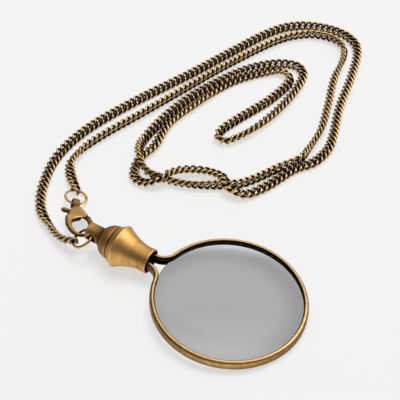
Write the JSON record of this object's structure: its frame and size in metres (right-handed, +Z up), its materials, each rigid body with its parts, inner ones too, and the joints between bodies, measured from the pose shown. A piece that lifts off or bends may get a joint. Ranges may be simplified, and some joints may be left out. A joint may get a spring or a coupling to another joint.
{
  "type": "magnifier pendant necklace",
  "caption": "Round magnifying lens in a split metal rim with a bell cap, hung on a long curb chain with jump rings and a lobster clasp, laid on a table.",
  "frame": {"origin": "on the table, under the middle of the pendant's length from the far edge of the rim to the end of the neck", "axes": "+Y along the pendant from the lens to the neck, +Z up from the table, +X across the lens, towards the chain's loops"},
  "size_m": [0.1504, 0.0994, 0.0126],
  "materials": {
    "aged_brass": "aged plated brass, satin with dark recesses",
    "ring_brass": "aged plated brass wire, polished by wear",
    "clasp_brass": "aged plated brass casting, soft shine",
    "chain_brass": "aged plated brass wire, dark between the links",
    "lens_glass": "clear polished glass, slightly grey",
    "solder": "dull grey soft solder",
    "spring_steel": "bright spring wire"
  },
  "bodies": {
    "chain": {"chain_run_upper": "chain_brass", "chain_run_middle": "chain_brass", "chain_run_lower": "chain_brass", "link_upper_01": "chain_brass", "link_upper_02": "chain_brass", "link_upper_03": "chain_brass", "link_upper_04": "chain_brass", "link_upper_05": "chain_brass", "link_upper_06": "chain_brass", "link_upper_07": "chain_brass", "link_upper_08": "chain_brass", "link_upper_09": "chain_brass", "link_upper_10": "chain_brass", "link_upper_11": "chain_brass", "link_upper_12": "chain_brass", "link_lower_01": "chain_brass", "link_lower_02": "chain_brass", "link_lower_03": "chain_brass", "link_lower_04": "chain_brass", "link_lower_05": "chain_brass", "link_lower_06": "chain_brass", "link_lower_07": "chain_brass", "link_lower_08": "chain_brass", "link_lower_09": "chain_brass", "link_lower_10": "chain_brass", "link_lower_11": "chain_brass", "link_lower_12": "chain_brass"},
    "pendant": {"lens": "lens_glass", "rim": "aged_brass", "bell_cap": "aged_brass", "solder_fill": "solder"},
    "ring_lower": {"lower_ring": "ring_brass"},
    "ring_upper": {"upper_ring": "ring_brass"},
    "clasp": {"clasp_body": "clasp_brass", "clasp_pin": "clasp_brass", "clasp_spring": "spring_steel"},
    "lever": {"clasp_lever": "clasp_brass"}
  },
  "joints": [
    {"name": "pendant_swing", "type": "hinge", "parent": "chain", "child": "pendant", "pos_m": [0, 0.0329, 0.0071], "axis": [-1, 0, 0], "range_deg": [0, 60]},
    {"name": "ring_lower_turn", "type": "hinge", "parent": "chain", "child": "ring_lower", "pos_m": [-0.00275, 0.0343, 0.00614], "axis": [-0.2201, 0.4402, 0.8705], "continuous": true},
    {"name": "ring_upper_turn", "type": "hinge", "parent": "chain", "child": "ring_upper", "pos_m": [0.01369, 0.04818, 0.00168], "axis": [0.2134, -0.1334, 0.9678], "continuous": true},
    {"name": "clasp_roll", "type": "hinge", "parent": "chain", "child": "clasp", "pos_m": [0.01102, 0.04656, 0.00205], "axis": [-0.7454, -0.6284, 0.2226], "range_deg": [0, 12]},
    {"name": "lever_open", "type": "hinge", "parent": "clasp", "child": "lever", "pos_m": [0.00766, 0.04184, 0.00261], "axis": [-0.4355, 0.2062, -0.8762], "range_deg": [0, 20], "stiffness_Nm_per_rad": 0.01, "springref_deg": -11.46, "deforming": ["clasp_spring"]}
  ]
}
